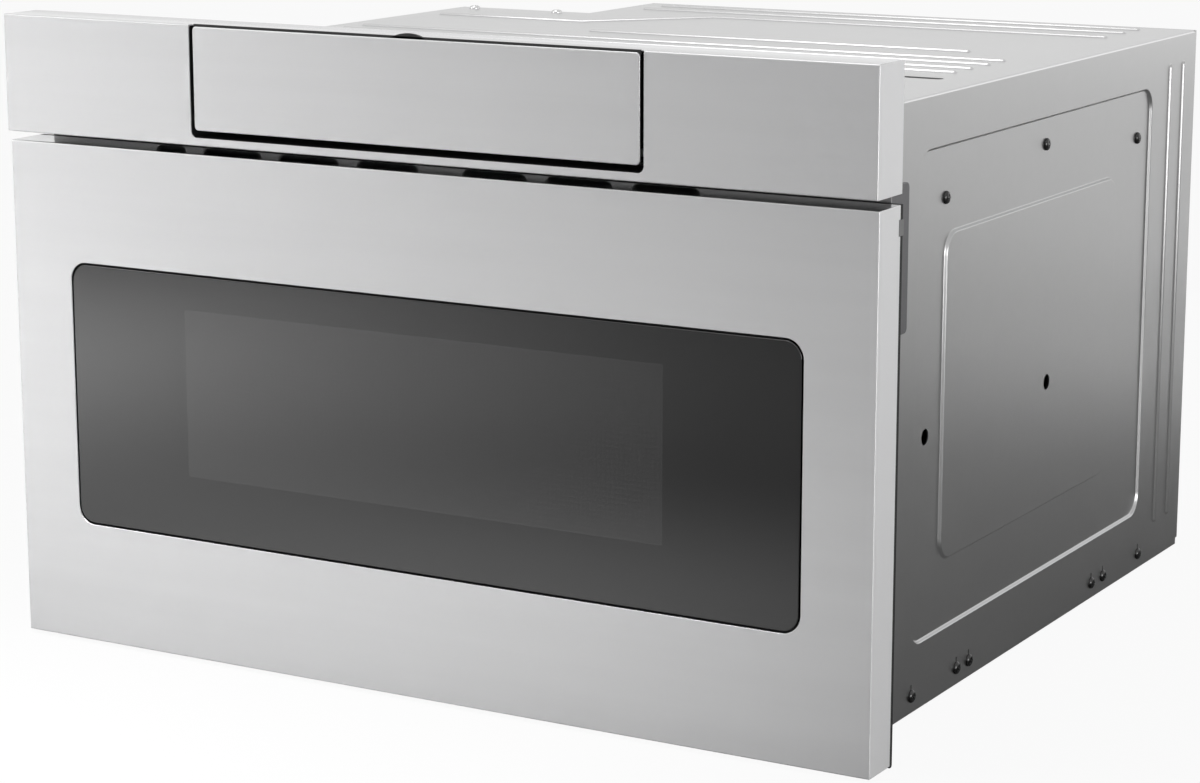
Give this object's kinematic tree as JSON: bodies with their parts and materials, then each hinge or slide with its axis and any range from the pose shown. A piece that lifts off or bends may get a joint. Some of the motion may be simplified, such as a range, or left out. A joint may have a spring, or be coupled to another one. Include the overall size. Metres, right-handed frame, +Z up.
{
  "type": "microwave drawer",
  "caption": "Built-in microwave oven whose whole front pulls out as a drawer, with a wide dark glass window below a fixed fascia that holds a flip-down control flap.",
  "frame": {"origin": "On the floor plane under the middle of the overall bounding box, drawer and flap shut", "axes": "+X to the right seen from the front, -Y out of the front face (the drawer opens along -Y), +Z up"},
  "size_m": [0.6064, 0.588, 0.407],
  "materials": {
    "stainless": "fine horizontal brushing",
    "galvanised": "plain zinc-coated sheet, slightly satin",
    "zinc": "bright zinc plate",
    "black_plastic": "moulded, satin",
    "black_paint": "satin",
    "grey_plastic": "moulded, matte",
    "dark_glass": "back-painted, glossy",
    "window_glass": "clear tinted",
    "screen_steel": "dark enamel, perforated look",
    "cavity_paint": "light speckled enamel",
    "tray_enamel": "light enamel",
    "ceramic": "opaque glass-ceramic, smooth",
    "mica": "pressed sheet, matte",
    "display": "dark display cell",
    "circuit_board": "solder-masked laminate",
    "laminations": "varnished steel stack",
    "copper_coil": "enamelled copper winding",
    "aluminium": "plain",
    "white_plastic": "moulded, matte",
    "pad_rubber": "matte",
    "dark_label": "dark insulating sheet"
  },
  "bodies": {
    "chassis": {"top_panel": "stainless", "panel_carrier": "black_plastic", "front_frame": "galvanised", "base_pan": "galvanised", "base_pads": "pad_rubber", "side_panel_left": "galvanised", "side_panel_right": "galvanised", "top_cover": "galvanised", "rear_panel": "galvanised", "cord_recess": "galvanised", "cord_gland": "black_plastic", "side_baffles": "dark_label", "chassis_screws": "zinc", "cavity_hangers": "galvanised", "oven_cavity": "cavity_paint", "stirrer_dome": "galvanised", "stirrer_cover": "mica", "stirrer_motor": "zinc", "waveguide": "galvanised", "magnetron": "aluminium", "transformer_core": "laminations", "transformer_coil": "copper_coil", "capacitor": "aluminium", "power_board": "circuit_board", "cavity_lamp": "white_plastic", "fan_shroud": "black_plastic", "fan_motor": "zinc", "rail_outers": "zinc", "rail_brackets": "galvanised", "motor_bracket": "galvanised", "drive_motor": "zinc", "switch_holders": "white_plastic"},
    "drawer": {"drawer_front": "stainless", "drawer_glass": "dark_glass", "door_core": "black_plastic", "window_screen": "screen_steel", "door_liner": "black_paint", "bumpers": "grey_plastic", "inner_window": "window_glass", "drawer_tray": "tray_enamel", "ceramic_base": "ceramic", "tray_glides": "white_plastic", "drawer_arms": "galvanised", "rail_inners": "zinc", "drawer_rack": "white_plastic", "latch_hooks": "zinc"},
    "control_flap": {"flap_face": "stainless", "flap_housing": "black_plastic", "touch_glass": "dark_glass", "flap_board": "circuit_board", "display_module": "display", "flap_pins": "zinc", "pull_tab": "black_plastic"},
    "left_mid_rail": {"rail_mid_left": "zinc"},
    "right_mid_rail": {"rail_mid_right": "zinc"},
    "drive_gear": {"drive_pinion": "white_plastic"},
    "mode_stirrer": {"stirrer": "aluminium"},
    "cooling_fan": {"fan_wheel": "black_plastic"},
    "interlock_plungers": {"switch_plungers": "black_plastic"}
  },
  "joints": [
    {"name": "drawer_slide", "type": "slide", "parent": "chassis", "child": "drawer", "axis": [0, -1, 0], "range_m": [0, 0.381]},
    {"name": "left_mid_slide", "type": "slide", "parent": "chassis", "child": "left_mid_rail", "axis": [0, -1, 0], "range_m": [0, 0.191]},
    {"name": "right_mid_slide", "type": "slide", "parent": "chassis", "child": "right_mid_rail", "axis": [0, -1, 0], "range_m": [0, 0.191]},
    {"name": "gear_spin", "type": "hinge", "parent": "chassis", "child": "drive_gear", "pos_m": [0.2, -0.225, 0.04], "axis": [1, 0, 0], "range_deg": [0, 1820]},
    {"name": "flap_hinge", "type": "hinge", "parent": "chassis", "child": "control_flap", "pos_m": [0, -0.2875, 0.347], "axis": [1, 0, 0], "range_deg": [0, 45]},
    {"name": "stirrer_spin", "type": "hinge", "parent": "chassis", "child": "mode_stirrer", "pos_m": [0, -0.0448, 0.27], "axis": [0, 0, 1], "continuous": true},
    {"name": "fan_spin", "type": "hinge", "parent": "chassis", "child": "cooling_fan", "pos_m": [0.15, 0.2725, 0.301], "axis": [0, 1, 0], "continuous": true},
    {"name": "plunger_slide", "type": "slide", "parent": "chassis", "child": "interlock_plungers", "axis": [0, -1, 0], "range_m": [0, 0.0013]}
  ],
  "couplings": [
    {"joint": "left_mid_slide", "follows": "drawer_slide", "ratio": 0.5},
    {"joint": "right_mid_slide", "follows": "drawer_slide", "ratio": 0.5},
    {"joint": "gear_spin", "follows": "drawer_slide", "rad_per_m": 83.333},
    {"joint": "plunger_slide", "follows": "drawer_slide", "ratio": 0.00315}
  ]
}
